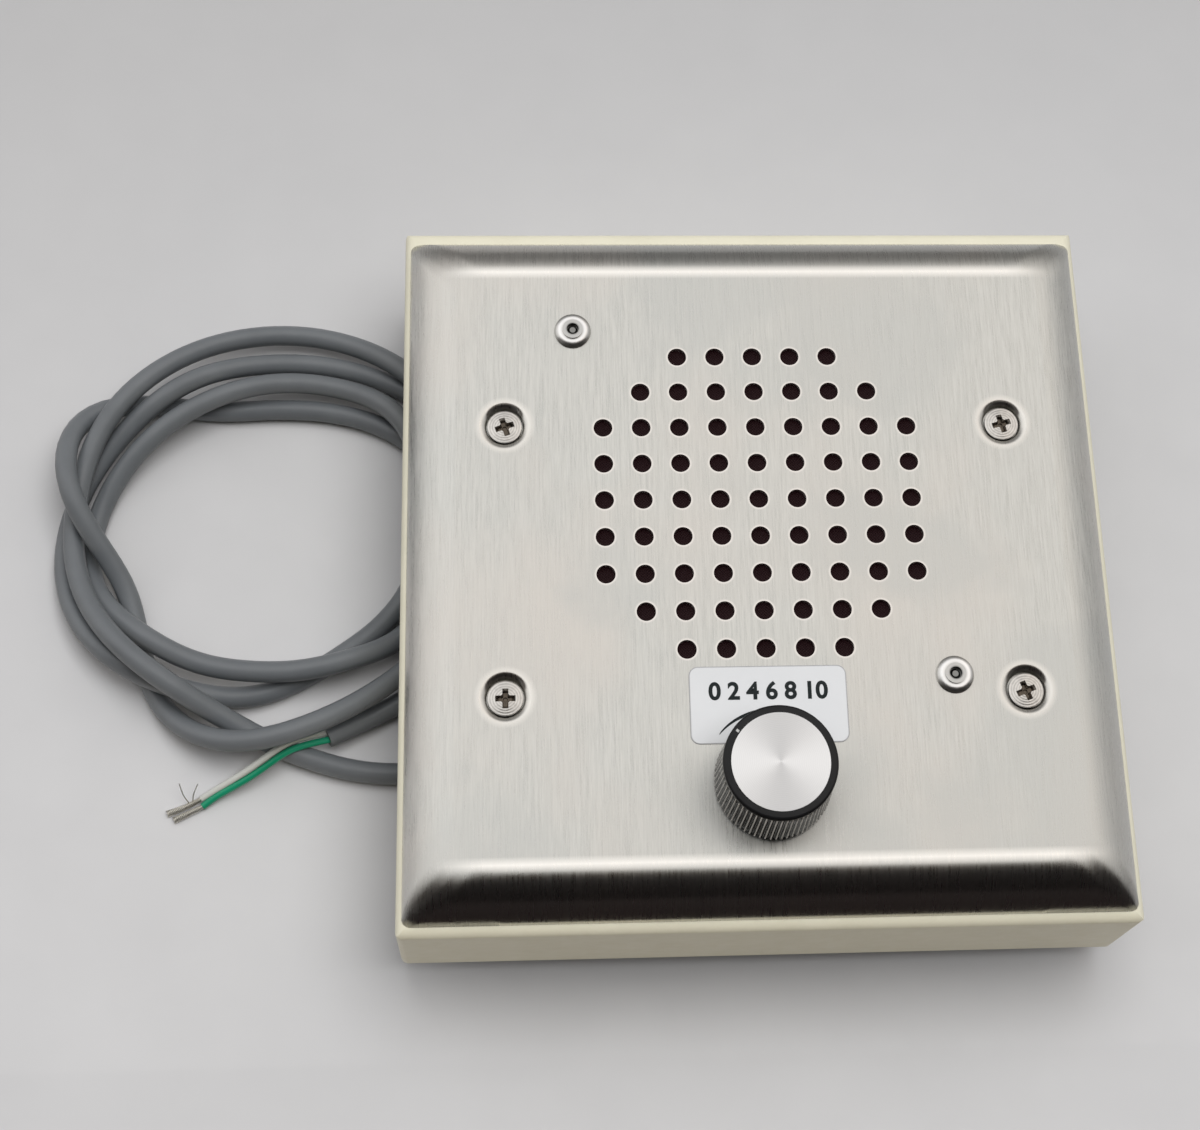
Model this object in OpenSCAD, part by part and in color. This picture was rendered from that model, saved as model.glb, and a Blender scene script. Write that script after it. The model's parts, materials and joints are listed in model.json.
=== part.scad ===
// Two-gang wall speaker with a volume control, on its surface box, lying on its back.
// Origin: under the middle of the box, on the surface that the magnet rests on.
// +Z points out of the faceplate, +Y to the top of the plate, +X to its right.

/* [Surface box] */
// Width of the box
box_w = 117.5; // [116.5:0.5:119.5]
// Height of the box on the wall
box_h = 120.6; // [119.8:0.1:123]
// Depth of the box from the wall to its rim
box_d = 23.8; // [22.8:0.1:24.2]
// Thickness of the folded steel
box_sheet = 1.2; // [1:0.1:1.5]
// Outer radius of the fold at the rim
rim_r = 1.6; // [1.4:0.1:1.8]
// Width of the flange folded in at the rim
rim_w = 7; // [5:0.5:8]
// Width of the opening in the base plate
opening_w = 72; // [70:1:76]
// Height of the opening in the base plate
opening_h = 86; // [84:1:90]

/* [Faceplate] */
// Width of the plate
plate_w = 115.5; // [114:0.5:116]
// Height of the plate
plate_h = 116.5; // [115:0.5:117.5]
// Height of the plate face over the rim
plate_rise = 6.3; // [5.8:0.1:6.8]
// Width of the rolled edge, seen from the front
roll_w = 8; // [7.5:0.1:8.5]
// Thickness of the stainless sheet
plate_sheet = 0.9; // [0.8:0.1:1]
// Distance between the cover screws across the plate
screw_span_x = 83.34; // [83:0.02:84]
// Distance between the cover screws along the plate
screw_span_y = 46.02; // [45.8:0.02:46.2]
// Depth of the dimples around the cover screws
dimple_depth = 1.8; // [1.7:0.1:2]
// Diameter of the cover screw heads
screw_head_d = 5.65; // [5.5:0.05:5.9]

/* [Grille] */
// Distance between the middles of neighbouring holes
hole_pitch = 6.35; // [5.8:0.05:6.4]
// Diameter of a hole
hole_d = 3.12; // [2.8:0.02:3.4]

/* [Loudspeaker] */
// Side of the square mounting flange
flange_size = 74; // [73:0.5:74.5]
// Distance of the rivets from the speaker axis, along X and along Y
rivet_offset = 30.2; // [29.8:0.1:30.6]
// Depth of the pressed frame
basket_depth = 22.7; // [22.2:0.1:23]
// Diameter of the magnet ring
magnet_d = 45; // [40:1:46]
// Thickness of the magnet ring
magnet_t = 8; // [7.5:0.1:8.5]
// Diameter of the voice coil, measured over its former
coil_d = 14.2; // [13.8:0.1:14.6]

/* [Volume control] */
// Diameter of the knob at its foot
knob_d = 18.7; // [18:0.1:19.4]
// Height of the knob
knob_h = 12.35; // [11.8:0.05:13]
// Number of ridges round the knob
ridges = 80; // [60:1:90]
// Diameter of the aluminium disc in the knob
inlay_d = 15.2; // [14.4:0.1:15.6]
// Diameter of the shaft
shaft_d = 6.35; // [6:0.05:6.4]
// Diameter of the can behind the plate
can_d = 16.5; // [16:0.1:17.5]
// Angle of the index mark from +X, turning towards +Y
index_angle = 142.8; // [120:0.2:160]

/* [Label] */
// Width of the label
label_w = 25.2; // [22:0.2:26]
// Height of the label
label_h = 12.5; // [11.5:0.1:12.5]

/* [Cable] */
// Diameter of the cable
cable_d = 3.7; // [3.3:0.1:3.7]
// Diameter of an insulated conductor
core_d = 1.2; // [1:0.1:1.2]

/* [Hidden] */
$fn = 96;
eps = 0.01;

// Heights of the magnet system, from the surface upwards
yoke_t = 3;
pole_top = yoke_t + magnet_t + 3;
basket_sheet = 0.8;
flange_top = pole_top + basket_depth;
gasket_t = 1.2;
cloth_t = 0.3;
plate_back = flange_top + gasket_t + cloth_t;
face_z = plate_back + plate_sheet;
rim_z = face_z - plate_rise;
box_z = rim_z - box_d;

// Middles of the plate, the cover screws, the speaker and the knob
plate_y = -0.5;
screws_y = plate_y - 0.95;
speaker_y = plate_y + 8.9;
knob_y = plate_y - 38;
label_y = plate_y - 25.7;

// Corners of the plate, at its outer edge and where the rolled edge starts
plate_corner_r = 1.4;
face_corner_r = 4.8;

// Cover screws, No. 6-32
screw_r = 1.75;
ear_t = 1.4;
ear_r = 5;
dimple_r = screw_head_d / 2 + 0.2;
mouth_r = 1.3;
head_below = 0.3;
// The plate has slid up a little on its screws
plate_slip = 0.15;

// Holes of the base plate that take the wall screws
wall_hole_r = 2.1;
base_gap = 0.2;
foot_spots = [[30, -1], [-30, 1]];
foot_reach = 9.3;

// Grille rows, from the lowest to the highest
rows = [5, 7, 9, 9, 9, 9, 9, 7, 5];

// Basket: radii of the back disc and of the ledge that the surround sits on
back_r = 20.6;
ledge_r = 31.8;
drum_r = 35.8;
ledge_top = flange_top - 2;
cone_edge_r = 28.7;
roll_edge_r = ledge_r + 0.4;
former_r = coil_d / 2;
iron_r = 20;

// Knob and volume control
knob_z = face_z + 0.65;
knob_top = knob_z + knob_h;
bushing_r = 4.76;
bushing_top = face_z + 4.1;
shaft_r = shaft_d / 2;
can_z = plate_back - 9;
can_sheet = 0.6;
track_t = 0.8;
lug_spots = [-4, 0, 4];
set_screw_z = knob_z + 7;

// Cable clip on the lower margin of the base plate
base_top = box_z + box_sheet;
clip_sheet = 0.7;
clip_x = -15;
clip_y = -opening_h / 2 + 4.5;
clip_w = 8;
clip_z = base_top + clip_sheet + cable_d / 2;
clip_screw_y = clip_y - 9;

// Terminals sit under the free corner of the speaker flange
terminal_reach = 40;
terminal_side = 4.5;

// The heap of cable: loops round one middle, wound clockwise from the wall of the box.
// Each row is one turn of 16 stations: how far out the cable lies, and how many
// cables high it lies there.
heap_middle = [-80, 11.5];
heap_start = 300;
heap_stations = 64.45;
layer_rise = cable_d + 0.5;
reach_turns = [
    [45, 36.5, 31.5, 31, 33, 36, 38, 40.5, 42, 42.5, 41.5, 39, 36, 33.5, 31.5, 30.5],
    [30.5, 32.5, 35.8, 34, 29, 28.7, 39, 45.5, 32, 28.5, 28.5, 30, 31, 29, 27, 25.5],
    [23, 22, 22.5, 25, 29, 34.2, 34.5, 33, 32, 32, 32.5, 32, 27.5, 24, 22.5, 21],
    [20.5, 22.5, 26.5, 30.5, 35.5, 38.7, 39, 37.5, 36.5, 36.5, 37, 38, 40, 39, 36.5, 35],
    [33, 33.5]
];
layer_turns = [
    [0, 0, 0.8, 2.1, 2.05, 1.15, 1.05, 1.45, 1.1, 0.5, 0.5, 1.1, 0.6, 0.1, 0.1, 0.5],
    [1.1, 1.5, 1.4, 0.1, 0, 0.6, 2.6, 0.5, 0, 0, 0, 0, 0, 0, 0, 0.3],
    [1, 1, 1, 0.9, 1.3, 0.2, 0, 0.8, 1.1, 1, 0.6, 1.1, 0.8, 0.1, 0, 0],
    [0, 0, 0.1, 0.95, 1.1, 0.2, 0, 0.6, 1.45, 0.6, 0.2, 0, 0, 0, 0, 0],
    [0, 0.5]
];
reach_list = [for (turn = reach_turns) each turn];
layer_list = [for (turn = layer_turns) each turn];

function pick(list, i) = list[max(0, min(len(list) - 1, i))];

// Smooth value between the stations of a list
function smooth(list, s) =
    let (
        i = floor(s),
        t = s - i,
        a = pick(list, i - 1),
        b = pick(list, i),
        c = pick(list, i + 1),
        d = pick(list, i + 2)
    )
    0.5 * (2 * b + (c - a) * t + (2 * a - 5 * b + 4 * c - d) * t * t
        + (3 * b - a - 3 * c + d) * t * t * t);

function heap_point(s) =
    let (
        angle = heap_start - 22.5 * s,
        reach = smooth(reach_list, s),
        layer = max(0, smooth(layer_list, s))
    )
    [
        heap_middle[0] + reach * cos(angle),
        heap_middle[1] + reach * sin(angle),
        cable_d / 2 + layer_rise * layer
    ];

heap_rings = 97;
heap_loops = [for (i = [0:heap_rings]) heap_point(heap_stations * i / heap_rings)];

function unit(v) = v / norm(v);

// Both ends of the heap run straight for one diameter
heap_first = heap_loops[0] + cable_d * unit(heap_loops[0] - heap_loops[1]);
heap_last = heap_loops[heap_rings]
    + cable_d * unit(heap_loops[heap_rings] - heap_loops[heap_rings - 1]);
heap_path = concat([heap_first], heap_loops, [heap_last]);

// Four points to each step of a path
function dense(path) = [
    for (i = [0:len(path) - 2], part = [0:3]) path[i] + (path[i + 1] - path[i]) * part / 4
];

// Least clear distance between stretches of a tube that are more than two steps apart
function least_gap(points, d) =
    min([
        for (i = [0:len(points) - 9], j = [i + 8:len(points) - 1]) norm(points[i] - points[j])
    ]) - d;

// Inside the box the cable stays low, rises through the opening and enters the clip
lead_ends = [clip_x + clip_w / 2 + 3, clip_y, clip_z];
lead_stops = [
    heap_first,
    heap_first + cable_d * unit(heap_first - heap_loops[0]),
    [-44, -30, cable_d / 2 + 0.15],
    [-38, -32, cable_d / 2 + 0.8],
    [-32, -35, cable_d / 2 + 4],
    [-26, clip_y + 0.7, clip_z - 2.2],
    [-21, clip_y, clip_z],
    lead_ends
];

// Stripped end of the cable, with its two conductors lying down to the surface
green_stops = [
    heap_last + [0.6, -0.4, 0],
    [-75.5, -22.7, 4.5],
    [-78.4, -23.6, 5],
    [-80.1, -24.9, 4.6],
    [-83, -26.8, 3.8],
    [-86, -28.6, 2.8],
    [-89, -29.8, 1.8],
    [-91.1, -30.7, 1],
    [-92.9, -32.2, 0.75]
];
white_stops = [
    heap_last + [0.1, 0.8, 0],
    [-75.5, -21.4, 4.7],
    [-78.4, -22.2, 5.1],
    [-81, -23.8, 5.1],
    [-83.4, -25.2, 4.4],
    [-86, -26.9, 3.4],
    [-89, -28.4, 2.2],
    [-91.4, -29.5, 1.2],
    [-93.2, -30.9, 0.75]
];
green_bare = [[-92.9, -32.2, 0.75], [-95.2, -33.3, 0.6], [-97.6, -34.4, 0.5]];
white_bare = [[-93.2, -30.9, 0.75], [-95.8, -32.2, 0.6], [-98.8, -33.3, 0.5]];
stray_left = [[-95, -31.8, 0.7], [-96, -30.6, 2.2], [-96.6, -29, 4]];
stray_right = [[-94.6, -31.6, 0.7], [-94.4, -30.4, 2], [-93.6, -29, 3.4]];

function at_lug(i, up = 0) = [lug_spots[i], knob_y - 13.4, can_z + can_sheet + track_t + up];
function at_terminal(side) = [
    (terminal_reach - side * terminal_side) / sqrt(2),
    speaker_y + (terminal_reach + side * terminal_side) / sqrt(2),
    flange_top - 6.5
];

jacket_end = lead_ends;
inner_x = box_w / 2 - box_sheet;
inner_y = box_h / 2 - box_sheet;
hookup_green_stops = [
    jacket_end + [0, 0.8, 0.2],
    jacket_end + [4, 0, 1.5],
    [-2.6, clip_y - 6, clip_z + 6],
    [-4, knob_y - 12, can_z - 4],
    at_lug(0)
];
hookup_white_stops = [
    jacket_end + [0, -0.8, 0.2],
    jacket_end + [5, -2, 1],
    [4.6, clip_y - 6, clip_z + 6],
    [4, knob_y - 12, can_z - 4],
    at_lug(2)
];
hookup_link_stops = [
    at_lug(2, 0.4),
    [9, knob_y - 14, can_z + 1],
    [26, -inner_y + 7, 22],
    [inner_x - 13.5, -inner_y + 17, 20],
    [inner_x - 11.5, 0, 20],
    [inner_x - 11.5, 24, 21],
    [40, 31, 26],
    at_terminal(-1) + [3, -2, -1.5],
    at_terminal(-1)
];
hookup_black_stops = [
    at_lug(1),
    [0, knob_y - 13.4, can_z - 5],
    [22, -inner_y + 5.5, 18],
    [inner_x - 9.5, -inner_y + 15, 17],
    [inner_x - 7.7, 0, 17],
    [46, 36, 22],
    [34, 45, 26],
    at_terminal(1) + [1.5, 3, -1.5],
    at_terminal(1)
];
tinsel_stops = [
    [37.2, -2],
    [33, -3.6],
    [29, -5.4],
    [24, -6.2],
    [18, -6.8],
    [13.5, -10.25]
];

function heading(path, i) =
    unit(path[min(i + 1, len(path) - 1)] - path[max(i - 1, 0)]);

function ring(path, i, r, sides, up) =
    let (
        ahead = heading(path, i),
        side = unit(cross(ahead, up)),
        top = cross(side, ahead)
    )
    [for (k = [0:sides - 1]) path[i] + r * (cos(360 * k / sides) * side + sin(360 * k / sides) * top)];

// Round path through a few stops, with the given number of steps between two stops
function smooth_path(stops, steps) = [
    for (i = [0:steps * (len(stops) - 1)])
        [for (axis = [0:2]) smooth([for (stop = stops) stop[axis]], i / steps)]
];

// Tube along a path; the path never runs along the direction called up
module tube(path, r, sides = 8, up = [0, 0, 1]) {
    last = (len(path) - 1) * sides;
    skin = [
        for (i = [0:len(path) - 2], k = [0:sides - 1])
            let (a = i * sides + k, b = i * sides + (k + 1) % sides)
            each [[a, b, b + sides], [a, b + sides, a + sides]]
    ];
    polyhedron(
        points = [for (i = [0:len(path) - 1]) each ring(path, i, r, sides, up)],
        faces = concat(
            [[for (k = [sides - 1:-1:0]) k]],
            skin,
            [[for (k = [0:sides - 1]) last + k]]
        ),
        convexity = 10
    );
}

module rounded_square(w, h, r) {
    square([w - 2 * r, h], center = true);
    square([w, h - 2 * r], center = true);
    for (x = [-1, 1], y = [-1, 1])
        translate([x * (w / 2 - r), y * (h / 2 - r)]) circle(r);
}

// Solid whose outlines along Y and along X are the first and the second child
module crossed(w, h) {
    intersection() {
        rotate([90, 0, 0]) linear_extrude(h, center = true) children(0);
        rotate([90, 0, 90]) linear_extrude(w, center = true) children(1);
    }
}

module at_cover_screws() {
    for (x = [-1, 1], y = [-1, 1])
        translate([x * screw_span_x / 2, screws_y + y * screw_span_y / 2, 0]) children();
}

module at_dimples() {
    translate([0, plate_slip, 0]) at_cover_screws() children();
}

module at_rivets() {
    for (s = [-1, 1])
        translate([s * rivet_offset, speaker_y - s * rivet_offset, 0]) children();
}

module at_speaker(z = 0) {
    translate([0, speaker_y, z]) children();
}

module at_knob(z = 0) {
    translate([0, knob_y, z]) children();
}

// Surface box

// Outline of the folded box across one direction, with the rim at height 0
module box_outline(w, inset = 0) {
    half = w / 2 - inset;
    r = rim_r - inset;
    translate([-half, -box_d - inset]) square([2 * half, box_d + inset - rim_r]);
    translate([-half + r, -rim_r - eps]) square([2 * (half - r), r + eps]);
    for (s = [-1, 1]) translate([s * (half - r), -rim_r]) circle(r);
}

module ear() {
    toward_wall = box_w / 2 - rim_w - screw_span_x / 2 + 1;
    difference() {
        union() {
            cylinder(h = ear_t, r = ear_r);
            translate([0, -ear_r, 0]) cube([toward_wall, 2 * ear_r, ear_t]);
        }
        translate([0, 0, -1]) cylinder(h = ear_t + 2, r = screw_r + 0.05, $fn = 48);
    }
}

module box_foot(side) {
    depth = foot_reach + box_sheet / 2;
    difference() {
        translate([-6, side > 0 ? 0 : -depth, 0]) cube([12, depth, box_sheet]);
        translate([0, side * 4, -1]) cylinder(h = box_sheet + 2, r = screw_r + 0.15, $fn = 48);
    }
}

module surface_box() {
    ear_z = rim_z - box_sheet;
    color("wheat") {
        difference() {
            intersection() {
                translate([0, 0, rim_z]) crossed(box_w, box_h) {
                    box_outline(box_w);
                    box_outline(box_h);
                }
                translate([0, 0, box_z - 1])
                    linear_extrude(box_d + 2) rounded_square(box_w, box_h, box_sheet);
            }
            translate([0, 0, rim_z]) crossed(box_w - 2 * box_sheet, box_h - 2 * box_sheet) {
                box_outline(box_w, box_sheet);
                box_outline(box_h, box_sheet);
            }
            translate([0, 0, rim_z - 5])
                linear_extrude(10)
                    square([box_w - 2 * rim_w, box_h - 2 * rim_w], center = true);
            // The flange is cut at each corner before it is folded
            for (x = [-1, 1], y = [-1, 1])
                translate([x * (box_w / 2 - 5.4), y * (box_h / 2 - 5.4), rim_z])
                    rotate(x * y * 45)
                        cube([6.9, 0.35, 2.2 * box_sheet], center = true);
        }
        for (y = [-1, 1])
            translate([0, screws_y + y * screw_span_y / 2, ear_z - ear_t])
                for (turn = [0, 180])
                    rotate(turn) translate([screw_span_x / 2, 0, 0]) ear();
        for (x = [-1, 1], y = [-1, 1])
            translate([x * (box_w / 2 - rim_w - 0.5), screws_y + y * screw_span_y / 2, ear_z - eps])
                cube([3, 2 * ear_r, 4 * eps], center = true);
        for (spot = foot_spots)
            translate([spot[0], spot[1] * (box_h / 2 - box_sheet - foot_reach), base_top])
                box_foot(spot[1]);
    }
}

module base_plate() {
    w = box_w - 2 * box_sheet - 2 * base_gap;
    h = box_h - 2 * box_sheet - 2 * base_gap;
    color("lightgray")
        difference() {
            translate([0, 0, box_z]) linear_extrude(box_sheet) difference() {
                rounded_square(w, h, 2);
                rounded_square(opening_w, opening_h, 6);
            }
            for (x = [-1, 1], y = [-1, 1])
                translate([x * screw_span_x / 2, y * screw_span_y / 2, box_z - 1])
                    cylinder(h = box_sheet + 2, r = wall_hole_r, $fn = 48);
            for (spot = foot_spots)
                translate([spot[0], spot[1] * (box_h / 2 - box_sheet - foot_reach + 4), box_z - 1])
                    cylinder(h = box_sheet + 2, r = screw_r, $fn = 48);
            translate([clip_x, clip_screw_y, box_z - 1])
                cylinder(h = box_sheet + 2, r = screw_r, $fn = 48);
        }
}

// Cross recess of a screw head, narrowing from height 0 downwards
module cross_recess(reach, depth) {
    translate([0, 0, -depth]) {
        for (turn = [0, 90])
            rotate(turn) linear_extrude(depth + eps, scale = 1.5)
                square([2 * reach / 1.5, 0.65], center = true);
        translate([0, 0, -0.2]) cylinder(h = depth + 0.2 + eps, r1 = 0.3, r2 = 0.85, $fn = 32);
    }
}

module box_screw() {
    difference() {
        union() {
            cylinder(h = 1.7, r = 3, $fn = 48);
            translate([0, 0, -2 * box_sheet]) cylinder(h = 2 * box_sheet + eps, r = screw_r, $fn = 48);
        }
        translate([0, 0, 1.7]) cross_recess(1.8, 1);
    }
}

module box_screws() {
    color("silver")
        for (spot = foot_spots)
            translate([spot[0], spot[1] * (box_h / 2 - box_sheet - foot_reach + 4), base_top + box_sheet])
                box_screw();
}

// Faceplate

// Outline of the plate across one direction, with the face at height 0: the rolled
// edge is an arc that starts level with the face
module plate_outline(w, roll, inset = 0) {
    flat = w / 2 - roll;
    below = plate_rise + inset;
    r = (roll * roll + plate_rise * plate_rise) / (2 * plate_rise);
    translate([-flat, -below]) square([2 * flat, below - inset]);
    for (s = [-1, 1]) intersection() {
        translate([s * flat, -r]) circle(r - inset, $fn = 160);
        translate([s > 0 ? flat - eps : -w / 2, -below]) square([roll + eps, below]);
    }
}

// Width of a rounded rectangle across a slanting direction
function width_across(w, h, r, turn) =
    (w - 2 * r) * abs(cos(turn)) + (h - 2 * r) * abs(sin(turn)) + 2 * r;

// Solid under the rolled face: the rolled edge turns each corner in four soft steps
module rolled_solid(inset = 0) {
    intersection_for (turn = [0, 22.5, 45, 67.5, 90, 112.5, 135, 157.5]) {
        outer = width_across(plate_w, plate_h, plate_corner_r, turn);
        flat = width_across(plate_w - 2 * roll_w, plate_h - 2 * roll_w, face_corner_r, turn);
        rotate([90, 0, turn])
            linear_extrude(2 * plate_h, center = true)
                plate_outline(outer, (outer - flat) / 2, inset);
    }
}

// Rolled dimple: a cup with its hole, and the rounded mouth that is cut for it
module dimple_cup() {
    translate([0, 0, -dimple_depth]) cylinder(h = dimple_depth - eps, r = dimple_r + plate_sheet);
    rotate_extrude() {
        translate([0, -dimple_depth - plate_sheet]) square([dimple_r, plate_sheet + eps]);
        intersection() {
            translate([dimple_r, -dimple_depth]) circle(plate_sheet, $fn = 48);
            translate([dimple_r - eps, -dimple_depth - plate_sheet]) square(plate_sheet + eps);
        }
    }
}

module dimple_mouth() {
    translate([0, 0, -dimple_depth]) cylinder(h = dimple_depth + 1, r = dimple_r);
    translate([0, 0, -dimple_depth - 2]) cylinder(h = 3, r = screw_r + 0.45, $fn = 48);
    rotate_extrude() difference() {
        translate([dimple_r - eps, -mouth_r]) square([mouth_r + eps, mouth_r + 1]);
        translate([dimple_r + mouth_r, -mouth_r]) circle(mouth_r, $fn = 64);
    }
}

module grille_hole() {
    translate([0, 0, -plate_sheet - 1]) cylinder(h = plate_sheet + 2, r = hole_d / 2, $fn = 48);
}

module faceplate() {
    color("gainsboro")
        translate([0, 0, face_z])
            difference() {
                union() {
                    translate([0, plate_y, 0]) difference() {
                        intersection() {
                            rolled_solid();
                            translate([0, 0, -plate_rise])
                                linear_extrude(plate_rise + 1)
                                    rounded_square(plate_w, plate_h, plate_corner_r);
                        }
                        rolled_solid(plate_sheet);
                    }
                    at_dimples() dimple_cup();
                }
                at_dimples() dimple_mouth();
                for (row = [0:len(rows) - 1], i = [0:rows[row] - 1])
                    at_speaker()
                        translate([(i - (rows[row] - 1) / 2) * hole_pitch, (row - 4) * hole_pitch, 0])
                            grille_hole();
                at_rivets() translate([0, 0, -5]) cylinder(h = 10, r = 1.65, $fn = 48);
                at_knob(-5) cylinder(h = 10, r = bushing_r + 0.1, $fn = 64);
                at_knob(-5) translate([-1.4, -8.2, 0]) cube([2.8, 1.8, 10]);
            }
}

module cover_screw() {
    head_r = screw_head_d / 2;
    head_h = dimple_depth - head_below;
    difference() {
        union() {
            intersection() {
                cylinder(h = head_h, r = head_r, $fn = 64);
                translate([0, 0, head_h - 16]) sphere(r = 16, $fn = 128);
            }
            translate([0, 0, -8.6 - plate_rise]) cylinder(h = 8.6 + plate_rise + eps, r = screw_r, $fn = 48);
        }
        translate([0, 0, head_h]) cross_recess(1.65, 1);
    }
}

module cover_screws() {
    turns = [0, 18, 20, 15];
    color("silver")
        for (x = [0, 1], y = [0, 1])
            translate([
                (2 * x - 1) * screw_span_x / 2,
                screws_y + (2 * y - 1) * screw_span_y / 2,
                face_z - dimple_depth
            ])
                rotate(turns[2 * x + y]) cover_screw();
}

module speaker_rivet() {
    head_r = 3.1;
    edge_r = 0.95;
    grip = plate_sheet + cloth_t + gasket_t + basket_sheet;
    difference() {
        union() {
            rotate_extrude() {
                square([head_r - edge_r, edge_r]);
                intersection() {
                    translate([head_r - edge_r, 0]) circle(edge_r, $fn = 64);
                    square([head_r, edge_r]);
                }
            }
            cylinder(h = edge_r + 0.3, r = 1.7, $fn = 48);
            translate([0, 0, -grip - 2]) cylinder(h = grip + 2 + eps, r = 1.6, $fn = 48);
            translate([0, 0, -grip - 2.2]) cylinder(h = 2.2, r = 2.5, $fn = 48);
        }
        translate([0, 0, 0.1]) cylinder(h = 3, r = 1, $fn = 48);
    }
    translate([0, 0, 0.1 - eps]) cylinder(h = 0.6, r1 = 0.9, r2 = 0.5, $fn = 32);
}

module speaker_rivets() {
    color("silver")
        at_rivets() translate([0, 0, face_z]) speaker_rivet();
}

module volume_label() {
    color("aliceblue")
        translate([0, label_y, face_z])
            linear_extrude(0.15) rounded_square(label_w, label_h, 1.5);
}

// Loudspeaker

module flange_square() {
    difference() {
        rounded_square(flange_size, flange_size, 6);
        for (s = [-1, 1])
            translate([s * rivet_offset, -s * rivet_offset]) circle(1.7, $fn = 48);
    }
}

module grille_cloth() {
    color("maroon")
        at_speaker(flange_top + gasket_t) linear_extrude(cloth_t) flange_square();
}

module speaker_gasket() {
    color("dimgray")
        at_speaker(flange_top) linear_extrude(gasket_t) difference() {
            flange_square();
            circle(33.6);
        }
}

module speaker_basket() {
    foot = pole_top;
    ledge_under = ledge_top - basket_sheet;
    lean = (ledge_r - back_r) / (ledge_under - foot);
    skin = basket_sheet * sqrt(1 + lean * lean);
    color("slategray")
        at_speaker() difference() {
            union() {
                rotate_extrude() polygon([
                    [12.5, foot],
                    [back_r, foot],
                    [ledge_r, ledge_under],
                    [drum_r, ledge_under],
                    [drum_r, flange_top - basket_sheet],
                    [drum_r + 0.6, flange_top - basket_sheet],
                    [drum_r + 0.6, flange_top],
                    [drum_r - basket_sheet, flange_top],
                    [drum_r - basket_sheet, ledge_top],
                    [back_r + lean * (ledge_top - foot) - skin, ledge_top],
                    [back_r + lean * basket_sheet - skin, foot + basket_sheet],
                    [12.5, foot + basket_sheet]
                ]);
                translate([0, 0, flange_top - basket_sheet])
                    linear_extrude(basket_sheet) difference() {
                        flange_square();
                        circle(drum_r + 0.3);
                    }
            }
            for (turn = [45:60:345])
                rotate(turn) translate([15, -5.5, foot + 5]) cube([20, 11, 9.5]);
        }
}

module surround() {
    roll = (roll_edge_r - cone_edge_r - 0.1) / 2;
    middle = roll_edge_r - roll;
    color("black")
        at_speaker(ledge_top) rotate_extrude() {
            translate([ledge_r, 0]) square([2.9, 0.4]);
            translate([cone_edge_r - 1.4, 0]) square([1.9, 0.4]);
            intersection() {
                translate([middle, 0]) difference() {
                    circle(roll, $fn = 48);
                    circle(roll - 0.4, $fn = 48);
                }
                translate([middle - 3, 0]) square([6, 3]);
            }
        }
}

// Height of the upper face of the cone over its neck, at radius r
function cone_height(r) = 18.5 - 14 + (r - former_r) * (flange_top - pole_top - 6.5) / (26.5 - former_r);

module cone() {
    color("#2b2b2b")
        at_speaker(pole_top) rotate_extrude() polygon([
            [former_r, cone_height(former_r) - 0.8],
            [26.8, ledge_top - pole_top - 0.6],
            [cone_edge_r, ledge_top - pole_top - 0.6],
            [cone_edge_r, ledge_top - pole_top],
            [26.5, ledge_top - pole_top],
            [former_r, cone_height(former_r)]
        ]);
}

module dust_cap() {
    cap_r = 9.5;
    foot_r = 8.2;
    sink = sqrt(cap_r * cap_r - foot_r * foot_r);
    color("#1f1f1f")
        at_speaker(pole_top) rotate_extrude() intersection() {
            translate([0, cone_height(foot_r) - sink]) difference() {
                circle(cap_r);
                circle(cap_r - 0.4);
            }
            polygon([
                [0, cone_height(former_r)],
                [former_r, cone_height(former_r)],
                [12, cone_height(12)],
                [12, 20],
                [0, 20]
            ]);
        }
}

module spider() {
    waves = [for (i = [0:8]) [former_r + 1.2 + i * 1.2, 2.2 + (i % 2 == 0 ? 0 : 0.7)]];
    color("goldenrod")
        at_speaker(pole_top) rotate_extrude() polygon(concat(
            [[former_r, 2], [former_r, 2.5]],
            [for (p = waves) p + [0, 0.3]],
            [[20, 2.5], [20, basket_sheet], [18.4, basket_sheet], [18.4, 2]],
            [for (i = [8:-1:0]) waves[i] - [0, 0.2]]
        ));
}

module voice_coil() {
    color("peru")
        at_speaker(pole_top) rotate_extrude() {
            translate([former_r - 0.3, -4.5]) square([0.3, 10.5]);
            translate([former_r - eps, -4]) square([0.3, 5]);
        }
}

module top_plate() {
    color("silver")
        at_speaker(pole_top - 3) linear_extrude(3) difference() {
            circle(iron_r);
            circle(former_r + 0.7);
        }
}

module magnet() {
    color("#3a3a3c")
        at_speaker(yoke_t) linear_extrude(magnet_t) difference() {
            circle(magnet_d / 2);
            circle(11);
        }
}

module pole_yoke() {
    color("silver")
        at_speaker() {
            cylinder(h = yoke_t, r = iron_r);
            cylinder(h = pole_top, r = former_r - 0.8);
        }
}

// Radial strip of the terminal corner: first the distance from the axis
module at_terminals(side) {
    translate([0, speaker_y, flange_top - basket_sheet])
        rotate(45) translate([terminal_reach, side * terminal_side, 0]) children();
}

module terminal_strip() {
    color("saddlebrown")
        difference() {
            at_terminals(0) translate([-3.2, -8, -1.2]) cube([6.8, 16, 1.2]);
            for (side = [-1, 1])
                at_terminals(side) translate([0, 0, -3]) cylinder(h = 5, r = 0.8, $fn = 32);
        }
}

module terminal_lug() {
    translate([0, 0, -1.2]) cylinder(h = 1.2, r = 0.8, $fn = 32);
    translate([-1.6, -1.25, -1.6]) cube([3.4, 2.5, 0.4]);
    difference() {
        translate([-2, -1.25, -7]) cube([0.4, 2.5, 5.8]);
        translate([-3, 0, -5.7]) rotate([0, 90, 0]) cylinder(h = 3, r = 0.6, $fn = 32);
    }
}

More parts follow.
